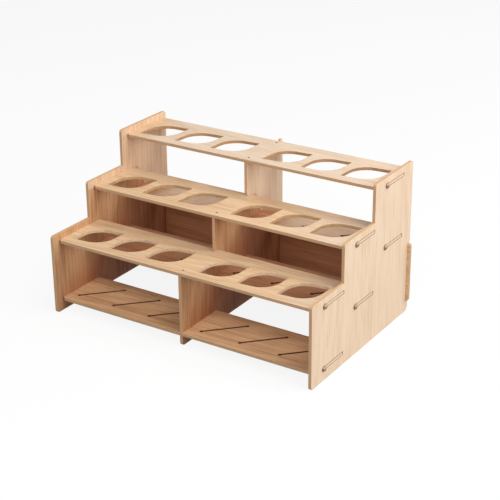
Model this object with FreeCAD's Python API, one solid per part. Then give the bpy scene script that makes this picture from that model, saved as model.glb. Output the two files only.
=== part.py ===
import FreeCAD, Part
import math
import os
from FreeCAD import Vector

# Hobby workstation organizer: a stepped rack of thin boards in three tiers.
# Millimetres. +Z is up, the front faces -Y, and the origin is at the bottom centre of the whole.

# Overall sizes, measured over the ends of the back panel
overall_width = 301.6
overall_depth = 190.5
overall_height = 158.75

# Boards
board = 3.2
fit_gap = 0.1
tab_length = 32.5
tab_end_gap = 0.25
tab_recess = 0.15

# Steps of the side panels
tiers = 3
lower_step_height = 82.55
panel_corner_radius = 3.0
heel_radius = 6.0

# Hole boards and floor boards, placed from the step that they belong to
shelf_setback = 8.6
shelf_drop = 6.5
hole_board_overlap = 6.45
back_clearance = 4.0
floor_board_shortfall = 6.0
floor_lift = 10.45
floor_board_drop = 24.3
board_corner_radius = 3.0
tab_shift = 0.45

# Leaf-shaped holes and the diagonal slots below them
hole_width = 36.4
hole_depth = 36.2
hole_side_lean = 2.5
hole_round_radius = 19.6
hole_tip_radius = 0.8
hole_pitch = 43.5
first_hole_offset = 30.6
hole_end_margin = 26.0
slot_run_x = 31.5
slot_run_y = 32.0
slot_width = 2.0
slot_end_diameter = 3.2

# Centre divider
divider_setback = 0.6
crook_relief_radius = 1.2
back_prong_rise = 1.8
back_prong_radius = 1.0

# Back panel and the notches that carry it
back_panel_height = 62.0
back_panel_lift = 12.0
back_panel_inset = 2.3
back_panel_corner_radius = 2.6
notch_mouth_radius = 2.2

# Pins that lock the tabs to the side panels
side_pin_head_diameter = 5.8
side_pin_head_height = 2.4
side_pin_shank_diameter = 1.2
side_pin_shank_length = 10.0
side_pin_offset = 2.5

# Pins that hold the hole boards down on the divider
top_pin_head_diameter = 2.4
top_pin_head_height = 0.5
top_pin_shank_diameter = 1.0
top_pin_shank_length = 13.0
top_pin_front_offset = 6.7
top_pin_back_offset = 5.3

# The flat end of every pin's pointed tip, as a share of its shank
pin_tip_share = 0.3

# Every cutter reaches this far past the face that it opens
overrun = 1.0

# Places worked out from the sizes
side_outer_x = overall_width / 2 - board
side_inner_x = side_outer_x - board
front_y = -overall_depth / 2
back_y = overall_depth / 2

# Each hole board reaches under the next step, and the upper one ends short of the back
step_rise = (overall_height - lower_step_height) / (tiers - 1)
step_run = (overall_depth - shelf_setback - hole_board_overlap - back_clearance) / tiers
hole_board_depth = step_run + hole_board_overlap
floor_board_depth = hole_board_depth - floor_board_shortfall
tab_offset = (hole_board_depth - tab_length) / 2 + tab_shift

# As many holes as fit between the divider and a side panel
holes_per_bay = int((side_inner_x - first_hole_offset - hole_end_margin) / hole_pitch) + 1


def step_front(tier):
    """Y of the front of a step of the side panels, counted from 0 at the bottom."""
    return front_y + tier * step_run


def step_top(tier):
    """Z of the top edge of a step of the side panels."""
    return overall_height - (tiers - 1 - tier) * step_rise


def board_front(tier):
    """Y of the front edge of a tier's hole board and floor board."""
    return step_front(tier) + shelf_setback


def hole_board_top(tier):
    """Z of the upper face of a tier's hole board."""
    return step_top(tier) - shelf_drop


def floor_board_top(tier):
    """Z of the upper face of a tier's floor board, set by the ground or by the hole board in front."""
    if tier == 0:
        return floor_lift + board
    return hole_board_top(tier - 1) - floor_board_drop


def board_levels():
    """Tier and upper face of all boards that have tabs in the side panels."""
    levels = [(tier, hole_board_top(tier)) for tier in range(tiers)]
    levels += [(tier, floor_board_top(tier)) for tier in range(tiers)]
    return levels


def tab_front(tier):
    """Y of the front end of the tabs of a tier's boards."""
    return board_front(tier) + tab_offset


def rounded_outline(corners, to_point):
    """Closed wire through corners given as (a, b, radius), with an arc at each corner that has one."""
    count = len(corners)
    edges = []
    last_end = None
    first_start = None
    for index, (a, b, radius) in enumerate(corners):
        here = Vector(a, b, 0)
        before = Vector(*corners[index - 1][:2], 0) - here
        after = Vector(*corners[(index + 1) % count][:2], 0) - here
        start = end = here
        arc = None
        if radius > 0:
            before.normalize()
            after.normalize()
            half_angle = before.getAngle(after) / 2
            reach = radius / math.tan(half_angle)
            start = here + before * reach
            end = here + after * reach
            inward = before + after
            inward.normalize()
            middle = here + inward * (radius / math.sin(half_angle) - radius)
            arc = Part.Arc(to_point(start), to_point(middle), to_point(end)).toShape()
        if last_end is None:
            first_start = start
        else:
            edges.append(Part.makeLine(to_point(last_end), to_point(start)))
        if arc:
            edges.append(arc)
        last_end = end
    edges.append(Part.makeLine(to_point(last_end), to_point(first_start)))
    return Part.Wire(edges)


def upright_plate(corners, x_low, thickness):
    """Plate in the Y-Z plane from corners (y, z, radius)."""
    wire = rounded_outline(corners, lambda point: Vector(x_low, point.x, point.y))
    return Part.Face(wire).extrude(Vector(thickness, 0, 0))


def flat_plate(corners, z_low, thickness):
    """Plate in the X-Y plane from corners (x, y, radius)."""
    wire = rounded_outline(corners, lambda point: Vector(point.x, point.y, z_low))
    return Part.Face(wire).extrude(Vector(0, 0, thickness))


def box(low, high):
    """Box between two opposite corners."""
    size = Vector(*high) - Vector(*low)
    return Part.makeBox(size.x, size.y, size.z, Vector(*low))


def notch_bottom_y():
    """Y of the closed end of the notches that hold the back panel."""
    return back_y - back_panel_inset - board


def notch_corners(z_low, z_high):
    """Corners of the notch in a back edge, from its lower mouth to its upper mouth."""
    return [
        (back_y, z_low, notch_mouth_radius),
        (notch_bottom_y(), z_low, 0),
        (notch_bottom_y(), z_high, 0),
        (back_y, z_high, notch_mouth_radius),
    ]


def back_panel_span():
    """Lower and upper Z of the notches, a fit gap wider than the back panel at its top."""
    return back_panel_lift, back_panel_lift + back_panel_height + fit_gap


def side_panel_outline():
    """Corners of a side panel, up the stepped front and down the notched back."""
    corners = [(front_y, 0, panel_corner_radius)]
    for tier in range(tiers):
        if tier > 0:
            corners.append((step_front(tier), step_top(tier - 1), 0))
        corners.append((step_front(tier), step_top(tier), panel_corner_radius))
    corners.append((back_y, overall_height, panel_corner_radius))
    corners += reversed(notch_corners(*back_panel_span()))
    corners.append((back_y, 0, heel_radius))
    return corners


def side_pin_place(tier, top):
    """Y and Z of the pin beside the front end of a tab."""
    return tab_front(tier) - side_pin_offset, top - board / 2


def side_panel(side):
    """Side panel at +X for side 1 and at -X for side -1, with its tab slots and pin holes."""
    inner = side * side_inner_x
    outer = side * side_outer_x
    low = min(inner, outer)
    panel = upright_plate(side_panel_outline(), low, board)
    for tier, top in board_levels():
        slot = box(
            (low - overrun, tab_front(tier) - tab_end_gap, top - board - fit_gap / 2),
            (low + board + overrun, tab_front(tier) + tab_length + tab_end_gap, top + fit_gap / 2),
        )
        panel = panel.cut(slot)
        pin_y, pin_z = side_pin_place(tier, top)
        bore = Part.makeCylinder(
            side_pin_shank_diameter / 2,
            board + 2 * overrun,
            Vector(low - overrun, pin_y, pin_z),
            Vector(1, 0, 0),
        )
        panel = panel.cut(bore)
    return panel


def board_outline(tier, depth):
    """Corners of a board between the side panels, with one tab at each end."""
    front = board_front(tier)
    back = front + depth
    tab_low = tab_front(tier)
    tab_high = tab_low + tab_length
    end = side_inner_x
    tip = side_outer_x - tab_recess
    radius = board_corner_radius
    right_side = [
        (end, front, radius),
        (end, tab_low, 0),
        (tip, tab_low, 0),
        (tip, tab_high, 0),
        (end, tab_high, 0),
        (end, back, radius),
    ]
    left_side = [(-x, y, corner) for x, y, corner in reversed(right_side)]
    return right_side + left_side


def end_pin_bores(plate, tier, top):
    """Cuts the bores for the side pins into both ends of a board."""
    pin_y, pin_z = side_pin_place(tier, top)
    reach = side_pin_shank_length - board
    for side in (1, -1):
        start = Vector(side * (side_inner_x + overrun), pin_y, pin_z)
        bore = Part.makeCylinder(
            side_pin_shank_diameter / 2, reach + overrun, start, Vector(-side, 0, 0)
        )
        plate = plate.cut(bore)
    return plate


def hole_centres_x():
    """X of the hole centres in the right bay."""
    return [first_hole_offset + index * hole_pitch for index in range(holes_per_bay)]


def bay_places_x():
    """X of the hole centres in both bays."""
    right = hole_centres_x()
    return [-x for x in reversed(right)] + right


def hole_row_y(tier):
    """Y of the centres of a tier's holes and of the slots below them, halfway along the floor board."""
    return board_front(tier) + floor_board_depth / 2


def leaf_cutter(centre_x, centre_y, top):
    """Leaf with tips at its front left and back right; its sides lean in to the two rounds."""
    half_width = hole_width / 2
    half_depth = hole_depth / 2
    round_x = half_width - hole_side_lean
    round_y = half_depth - hole_side_lean
    corners = [
        (centre_x - half_width, centre_y - half_depth, hole_tip_radius),
        (centre_x + round_x, centre_y - round_y, hole_round_radius),
        (centre_x + half_width, centre_y + half_depth, hole_tip_radius),
        (centre_x - round_x, centre_y + round_y, hole_round_radius),
    ]
    return flat_plate(corners, top - board - overrun, board + 2 * overrun)


def diagonal_cutter(centre_x, centre_y, top):
    """Thin diagonal slot, from front left to back right, with a round eye at each end."""
    length = math.hypot(slot_run_x, slot_run_y)
    height = board + 2 * overrun
    low = top - board - overrun
    bar = Part.makeBox(length, slot_width, height, Vector(-length / 2, -slot_width / 2, low))
    for end in (-1, 1):
        eye_centre = Vector(end * length / 2, 0, low)
        bar = bar.fuse(Part.makeCylinder(slot_end_diameter / 2, height, eye_centre))
    bar.rotate(Vector(0, 0, 0), Vector(0, 0, 1), math.degrees(math.atan2(slot_run_y, slot_run_x)))
    bar.translate(Vector(centre_x, centre_y, 0))
    return bar


def top_pin_places(tier):
    """Y of the pins that hold a tier's hole board down on the divider."""
    places = [board_front(tier) + top_pin_front_offset]
    if tier == tiers - 1:
        places.append(board_front(tier) + hole_board_depth - top_pin_back_offset)
    return places


def top_pin_bore(place_y, top, depth):
    """Bore for a divider pin, from above a hole board down."""
    start = Vector(0, place_y, top + overrun)
    return Part.makeCylinder(
        top_pin_shank_diameter / 2, depth + overrun, start, Vector(0, 0, -1)
    )


def hole_board(tier):
    """Board with one row of leaf-shaped holes; a notch lets the divider's next step through."""
    top = hole_board_top(tier)
    plate = flat_plate(board_outline(tier, hole_board_depth), top - board, board)
    for centre_x in bay_places_x():
        plate = plate.cut(leaf_cutter(centre_x, hole_row_y(tier), top))
    if tier < tiers - 1:
        half_gap = board / 2 + fit_gap
        notch = box(
            (-half_gap, divider_front(tier + 1) - fit_gap, top - board - overrun),
            (half_gap, board_front(tier) + hole_board_depth + overrun, top + overrun),
        )
        plate = plate.cut(notch)
    for place_y in top_pin_places(tier):
        plate = plate.cut(top_pin_bore(place_y, top, board + overrun))
    return end_pin_bores(plate, tier, top)


def floor_board(tier):
    """Board with one row of diagonal slots, which carries what stands in the holes above."""
    top = floor_board_top(tier)
    plate = flat_plate(board_outline(tier, floor_board_depth), top - board, board)
    for centre_x in bay_places_x():
        plate = plate.cut(diagonal_cutter(centre_x, hole_row_y(tier), top))
    return end_pin_bores(plate, tier, top)


def divider_front(tier):
    """Y of the divider's front edge below a tier's hole board."""
    return board_front(tier) + divider_setback


def divider_shelf(tier):
    """Z of the divider's edge that carries a tier's hole board."""
    return hole_board_top(tier) - board


def divider_outline():
    """Corners of the divider, up its stepped front, over its back prong and down its back."""
    corners = [(divider_front(0), 0, panel_corner_radius)]
    for tier in range(tiers):
        if tier > 0:
            corners.append((divider_front(tier), divider_shelf(tier - 1), 0))
        corners.append((divider_front(tier), divider_shelf(tier), 0))
    last = tiers - 1
    prong_front = board_front(last) + hole_board_depth + fit_gap
    prong_top = hole_board_top(last) + back_prong_rise
    corners.append((prong_front, divider_shelf(last), 0))
    corners.append((prong_front, prong_top, back_prong_radius))
    corners.append((back_y, prong_top, back_prong_radius))
    corners += reversed(notch_corners(*back_panel_span()))
    corners.append((back_y, 0, heel_radius))
    return corners


def centre_divider():
    """Stepped divider with through slots for the floor boards and bores for its pins."""
    low = -board / 2
    plate = upright_plate(divider_outline(), low, board)
    for tier in range(tiers):
        top = floor_board_top(tier)
        front = board_front(tier) - fit_gap
        back = board_front(tier) + floor_board_depth + fit_gap
        slot = box(
            (low - overrun, front, top - board - fit_gap / 2),
            (low + board + overrun, back, top + fit_gap / 2),
        )
        plate = plate.cut(slot)
    for tier in range(tiers - 1):
        relief = Part.makeCylinder(
            crook_relief_radius,
            board + 2 * overrun,
            Vector(low - overrun, divider_front(tier + 1), hole_board_top(tier) + crook_relief_radius),
            Vector(1, 0, 0),
        )
        plate = plate.cut(relief)
    for tier in range(tiers):
        for place_y in top_pin_places(tier):
            plate = plate.cut(top_pin_bore(place_y, hole_board_top(tier), top_pin_shank_length))
    return plate


def back_panel():
    """Plain panel that fills the notches and stands out past both side panels."""
    half = overall_width / 2
    low, _ = back_panel_span()
    high = low + back_panel_height
    radius = back_panel_corner_radius
    corners = [(half, low, radius), (half, high, radius), (-half, high, radius), (-half, low, radius)]
    y_low = notch_bottom_y()
    wire = rounded_outline(corners, lambda point: Vector(point.x, y_low, point.y))
    return Part.Face(wire).extrude(Vector(0, board, 0))


def pin(head_diameter, head_height, shank_diameter, shank_length):
    """Pin along -Z with its domed head's underside at the origin, as one turned solid."""
    half_head = head_diameter / 2
    half_shank = shank_diameter / 2
    half_tip = half_shank * pin_tip_share
    shoulder = shank_diameter - shank_length
    dome_radius = (half_head ** 2 + head_height ** 2) / (2 * head_height)
    dome_turn = math.asin(half_head / dome_radius) / 2
    dome_middle = Vector(math.sin(dome_turn), 0, math.cos(dome_turn)) * dome_radius
    dome_middle.z += head_height - dome_radius
    profile = [
        Part.makeLine(Vector(0, 0, head_height), Vector(0, 0, -shank_length)),
        Part.makeLine(Vector(0, 0, -shank_length), Vector(half_tip, 0, -shank_length)),
        Part.makeLine(Vector(half_tip, 0, -shank_length), Vector(half_shank, 0, shoulder)),
        Part.makeLine(Vector(half_shank, 0, shoulder), Vector(half_shank, 0, 0)),
        Part.makeLine(Vector(half_shank, 0, 0), Vector(half_head, 0, 0)),
        Part.Arc(Vector(half_head, 0, 0), dome_middle, Vector(0, 0, head_height)).toShape(),
    ]
    return Part.Face(Part.Wire(profile)).revolve(Vector(0, 0, 0), Vector(0, 0, 1), 360)


def side_pins(side):
    """The six pins of one side panel, with their heads on its outer face."""
    pins = []
    for tier, top in board_levels():
        pin_y, pin_z = side_pin_place(tier, top)
        one = pin(
            side_pin_head_diameter,
            side_pin_head_height,
            side_pin_shank_diameter,
            side_pin_shank_length - fit_gap,
        )
        one.rotate(Vector(0, 0, 0), Vector(0, 1, 0), side * 90)
        one.translate(Vector(side * side_outer_x, pin_y, pin_z))
        pins.append(one)
    return Part.makeCompound(pins)


def divider_pins():
    """The pins that hold the hole boards down on the divider."""
    pins = []
    for tier in range(tiers):
        for place_y in top_pin_places(tier):
            one = pin(
                top_pin_head_diameter,
                top_pin_head_height,
                top_pin_shank_diameter,
                top_pin_shank_length - fit_gap,
            )
            one.translate(Vector(0, place_y, hole_board_top(tier)))
            pins.append(one)
    return Part.makeCompound(pins)


def pieces():
    """Every piece of the rack by its node name."""
    tier_names = ["lower", "middle", "upper"]
    result = {
        "left_side_panel": side_panel(-1),
        "right_side_panel": side_panel(1),
        "centre_divider": centre_divider(),
        "back_panel": back_panel(),
        "left_side_pins": side_pins(-1),
        "right_side_pins": side_pins(1),
        "divider_pins": divider_pins(),
    }
    for tier, name in enumerate(tier_names):
        result[name + "_hole_board"] = hole_board(tier)
        result[name + "_floor_board"] = floor_board(tier)
    return result


os.makedirs("parts", exist_ok=True)
for node, shape in pieces().items():
    if not shape.isValid():
        raise ValueError("the shape of " + node + " is not valid")
    shape.exportStep("parts/" + node + ".step")
    extent = shape.BoundBox
    print(
        f"{node:20s} solids {len(shape.Solids)} volume {shape.Volume:10.1f} "
        f"x {extent.XMin:8.2f} {extent.XMax:8.2f} "
        f"y {extent.YMin:8.2f} {extent.YMax:8.2f} "
        f"z {extent.ZMin:8.2f} {extent.ZMax:8.2f}"
    )
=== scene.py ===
"""Looks of a stepped desk organizer: pale boards in three tiers, held by tabs and small pins."""

import logging
import math
from dataclasses import dataclass, field, replace
from enum import Enum
from typing import Callable, Iterable

import bpy
from mathutils import Matrix, Vector


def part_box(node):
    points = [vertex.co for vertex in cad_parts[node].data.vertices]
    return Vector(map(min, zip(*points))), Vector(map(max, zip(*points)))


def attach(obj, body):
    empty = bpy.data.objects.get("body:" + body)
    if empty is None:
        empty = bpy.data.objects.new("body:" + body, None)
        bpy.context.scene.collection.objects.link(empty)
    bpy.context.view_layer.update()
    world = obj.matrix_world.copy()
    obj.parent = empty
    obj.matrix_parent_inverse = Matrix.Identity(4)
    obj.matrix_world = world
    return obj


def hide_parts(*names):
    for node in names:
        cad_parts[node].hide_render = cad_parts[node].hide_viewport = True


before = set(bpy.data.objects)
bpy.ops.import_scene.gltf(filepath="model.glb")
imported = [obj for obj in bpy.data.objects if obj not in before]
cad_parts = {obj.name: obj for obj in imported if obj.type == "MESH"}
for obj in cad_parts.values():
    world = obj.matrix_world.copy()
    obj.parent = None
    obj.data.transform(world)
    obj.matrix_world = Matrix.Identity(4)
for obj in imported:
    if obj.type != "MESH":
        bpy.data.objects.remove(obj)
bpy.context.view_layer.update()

log = logging.getLogger("organizer")

Colour = tuple[float, float, float]
Place = tuple[float, float, float]
Range = tuple[float, float]
Spot = tuple[float | None, float | None, float | None]
Test = Callable[[Vector, Vector], bool]
Socket = bpy.types.NodeSocket
Material = bpy.types.Material

MM = 0.001
WHITE: Colour = (1.0, 1.0, 1.0)
BOTH_SIDES = (1, -1)


def linear(red: int, green: int, blue: int) -> Colour:
    """Turns a colour of a swatch card, 0 to 255, into the linear values that a shader takes.

    Args:
        red: Red of the swatch.
        green: Green of the swatch.
        blue: Blue of the swatch.

    Returns:
        The linear red, green and blue.
    """
    def one(part: int) -> float:
        """Turns one channel linear, by the usual curve of screen colours."""
        share = part / 255
        return share / 12.92 if share <= 0.04045 else ((share + 0.055) / 1.055) ** 2.4

    return one(red), one(green), one(blue)


def shade(colour: Colour, share: float) -> Colour:
    """Darkens a colour to a share of itself."""
    return tuple(part * share for part in colour)


class Axis(Enum):
    """An axis of the rack. Its value is the turn that lays an upright cylinder along it."""

    X = (0.0, math.pi / 2, 0.0)
    Y = (math.pi / 2, 0.0, 0.0)
    Z = (0.0, 0.0, 0.0)

    @property
    def way(self) -> Vector:
        """Unit vector along the axis."""
        return Vector((self is Axis.X, self is Axis.Y, self is Axis.Z))


class Value:
    """A number in a finish that changes over the surface, with a plain number's arithmetic."""

    def __init__(self, recipe: "Recipe", socket: Socket) -> None:
        """Keeps the socket and the recipe that it belongs to."""
        self.recipe = recipe
        self.socket = socket

    def _sum(self, operation: str, *terms: "Value | float") -> "Value":
        """Adds one Math node.

        Args:
            operation: The Math node's operation.
            terms: Its inputs in order.

        Returns:
            The node's result.
        """
        node = self.recipe.node("ShaderNodeMath", {"operation": operation}, dict(enumerate(terms)))
        return Value(self.recipe, node.outputs[0])

    def __add__(self, other: "Value | float") -> "Value":
        """Sum with another value."""
        return self._sum("ADD", self, other)

    __radd__ = __add__

    def __sub__(self, other: "Value | float") -> "Value":
        """Difference from another value."""
        return self._sum("SUBTRACT", self, other)

    def __rsub__(self, other: "Value | float") -> "Value":
        """Difference, the other way round."""
        return self._sum("SUBTRACT", other, self)

    def __mul__(self, other: "Value | float") -> "Value":
        """Product with another value."""
        return self._sum("MULTIPLY", self, other)

    __rmul__ = __mul__

    def most(self, other: "Value | float") -> "Value":
        """Larger of two values."""
        return self._sum("MAXIMUM", self, other)

    def size(self) -> "Value":
        """Value without its sign."""
        return self._sum("ABSOLUTE", self)

    def sine(self) -> "Value":
        """Sine of the value."""
        return self._sum("SINE", self)

    def wrap(self, length: float) -> "Value":
        """Place in a stretch that repeats with the given length."""
        return self._sum("WRAP", self, length, 0.0)

    def root(self) -> "Value":
        """Square root of the value."""
        return self._sum("SQRT", self)

    def ramp(self, low: float, high: float) -> "Value":
        """Smooth rise from 0 where the value is low to 1 where it is high.

        Args:
            low: Where the rise starts. It may be above high, for a fall.
            high: Where the rise ends.

        Returns:
            The smooth value from 0 to 1.
        """
        node = self.recipe.node(
            "ShaderNodeMapRange",
            {"interpolation_type": "SMOOTHSTEP", "clamp": True},
            {"Value": self, "From Min": low, "From Max": high},
        )
        return Value(self.recipe, node.outputs[0])


@dataclass(frozen=True)
class Mottle:
    """Soft noise of a finish.

    Attributes:
        stretch: Size of a spot along, across and through the board, in millimetres.
        detail: How many finer layers are added.
        roughness: How strong the finer layers are.
    """

    stretch: Place
    detail: float
    roughness: float = 0.5


@dataclass(frozen=True)
class Relief:
    """Fine relief of a finish: how strongly it shows, and its depth in millimetres."""

    strength: float
    depth: float


class Recipe:
    """The nodes of one finish."""

    def __init__(self, owner: "bpy.types.Material | bpy.types.World") -> None:
        """Empties the nodes of a new material or world.

        Args:
            owner: The material or world.
        """
        owner.use_nodes = True
        self.owner = owner
        self.tree = owner.node_tree
        self.tree.nodes.clear()

    def node(
        self, kind: str, settings: dict | None = None, sockets: dict | None = None
    ) -> bpy.types.Node:
        """Adds a node of any type.

        Args:
            kind: The node's type.
            settings: Its settings, set before its sockets.
            sockets: Values, colours or links of its input sockets, by name or number.

        Returns:
            The node.
        """
        made = self.tree.nodes.new(kind)
        for key, setting in (settings or {}).items():
            setattr(made, key, setting)
        for key, given in (sockets or {}).items():
            socket = made.inputs[key]
            if isinstance(given, Value):
                self.tree.links.new(given.socket, socket)
            elif isinstance(given, Socket):
                self.tree.links.new(given, socket)
            elif isinstance(given, tuple) and socket.type == "RGBA":
                socket.default_value = (*given, 1.0)
            else:
                socket.default_value = given
        return made

    def spot(self) -> tuple[Socket, Socket]:
        """Reads where on the piece the finish is.

        Returns:
            The place in millimetres, and the normal there.
        """
        spot = self.node("ShaderNodeTexCoord")
        place = self.node(
            "ShaderNodeVectorMath",
            {"operation": "SCALE"},
            {0: spot.outputs["Object"], "Scale": 1 / MM},
        )
        return place.outputs[0], spot.outputs["Normal"]

    def parts(self, vector: Socket, axes: tuple[str, ...]) -> tuple[Value, ...]:
        """Splits a vector.

        Args:
            vector: The vector.
            axes: Names of the wanted parts, in order.

        Returns:
            Its parts in that order.
        """
        split = self.node("ShaderNodeSeparateXYZ", sockets={0: vector})
        return tuple(Value(self, split.outputs[axis]) for axis in axes)

    def noise(self, place: Socket, mottle: Mottle) -> Value:
        """Adds soft noise.

        Args:
            place: Place on the piece in millimetres.
            mottle: The kind of noise.

        Returns:
            The noise, about 0.5 in the middle.
        """
        scaled = self.node(
            "ShaderNodeVectorMath", {"operation": "DIVIDE"}, {0: place, 1: mottle.stretch}
        )
        made = self.node(
            "ShaderNodeTexNoise",
            {"noise_dimensions": "3D"},
            {
                "Vector": scaled.outputs[0],
                "Scale": 1.0,
                "Detail": mottle.detail,
                "Roughness": mottle.roughness,
            },
        )
        return Value(self, made.outputs["Fac"])

    def blend(self, share: Value, low: "Colour | Socket", high: "Colour | Socket") -> Socket:
        """Mixes two colours.

        Args:
            share: How much of the second colour.
            low: The first colour.
            high: The second colour.

        Returns:
            The mixed colour's socket.
        """
        made = self.node(
            "ShaderNodeMix",
            {"data_type": "RGBA", "blend_type": "MIX"},
            {0: share, 6: low, 7: high},
        )
        return made.outputs[2]

    def seen(self) -> Value:
        """Tells what is looked at from what only gives light.

        Returns:
            1 for what the camera sees, also in a reflection or through glass, and else 0.
        """
        path = self.node("ShaderNodeLightPath")
        camera, glossy, through = (
            Value(self, path.outputs[f"Is {kind} Ray"])
            for kind in ("Camera", "Glossy", "Transmission")
        )
        return camera.most(glossy).most(through)

    def surface(self, relief: Relief, height: Value, sockets: dict) -> Material:
        """Ends the recipe with a surface that has a fine relief.

        Args:
            relief: Strength and depth of the relief.
            height: Its height over the surface.
            sockets: Values and links of the shader's other sockets.

        Returns:
            The finished material.
        """
        bump = self.node(
            "ShaderNodeBump",
            sockets={"Strength": relief.strength, "Distance": relief.depth * MM, "Height": height},
        )
        shader = self.node(
            "ShaderNodeBsdfPrincipled", sockets={**sockets, "Normal": bump.outputs[0]}
        )
        return self.close(shader.outputs[0])

    def close(self, shader: Socket, output: str = "ShaderNodeOutputMaterial") -> bpy.types.ID:
        """Ends the recipe with its output.

        Args:
            shader: The shader that shows.
            output: Type of the output node.

        Returns:
            The finished material or world.
        """
        self.node(output, sockets={"Surface": shader})
        return self.owner


class Grain(Enum):
    """How a board lies: the axes along its grain, across it and through its thickness."""

    FLAT = ("X", "Y", "Z")
    UPRIGHT = ("Z", "Y", "X")
    CROSSWAYS = ("X", "Z", "Y")


@dataclass(frozen=True)
class Sheet:
    """Colours of one kind of sheet wood, or of a tone painted for light or shade: its pale and
    deep grain, and its cut edges.
    """

    pale: Colour
    deep: Colour
    cut: Colour


PALE_SHEET = Sheet(linear(238, 213, 186), linear(221, 188, 154), linear(216, 175, 133))
GOLDEN_SHEET = Sheet(linear(231, 199, 162), linear(199, 158, 117), linear(212, 173, 133))
TAN_SHEET = Sheet(linear(230, 187, 146), linear(188, 138, 95), linear(210, 171, 131))
# Painted shade: the browner tone of inner faces where little light reaches.
BROWN_SHADE = Sheet(linear(221, 174, 131), linear(176, 124, 82), linear(208, 168, 128))
# Painted shade: the dark tone of boards that lie in shade.
UMBER_SHADE = Sheet(linear(208, 157, 119), linear(166, 112, 78), linear(205, 162, 120))
# Partly painted light: a paler, pinker tone where more light falls on the hole boards.
ROSY_SHEET = Sheet(linear(230, 207, 184), linear(208, 180, 152), linear(212, 173, 133))
# Painted shade: the darkest tone, for the deepest shade near the back.
RUSSET_SHADE = Sheet(linear(200, 138, 98), linear(157, 94, 62), linear(205, 162, 120))


class Reach(Enum):
    """Where along the grain the reach of a tone painted for light or shade is measured from."""

    BOTH = 0  # from the origin, both ways
    UP = 1  # from the origin, towards higher places
    DOWN = -1  # from the origin, towards lower places
    BAYS = 2  # from the left end of each bay


@dataclass(frozen=True)
class PaintedLightShade:
    """Where a board has a tone painted for light or shade. Its places are in millimetres.

    Attributes:
        sheet: The painted tone.
        sides: Faces that it shows on: 1, -1 or both.
        full: Where along the grain it is all there.
        gone: Where along the grain it has faded out.
        reach: Where full and gone are measured from.
        back_corner_shade: A third, darker tone, painted as shade towards the low back corner,
            where it takes the place of the first.
        step: How much shorter its reach is at the back.
        least: Share of it that is left where it has faded out.
    """

    sheet: Sheet
    sides: tuple[int, ...]
    full: float
    gone: float
    reach: Reach = Reach.BOTH
    back_corner_shade: Sheet | None = None
    step: float = 0.0
    least: float = 0.0


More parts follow.
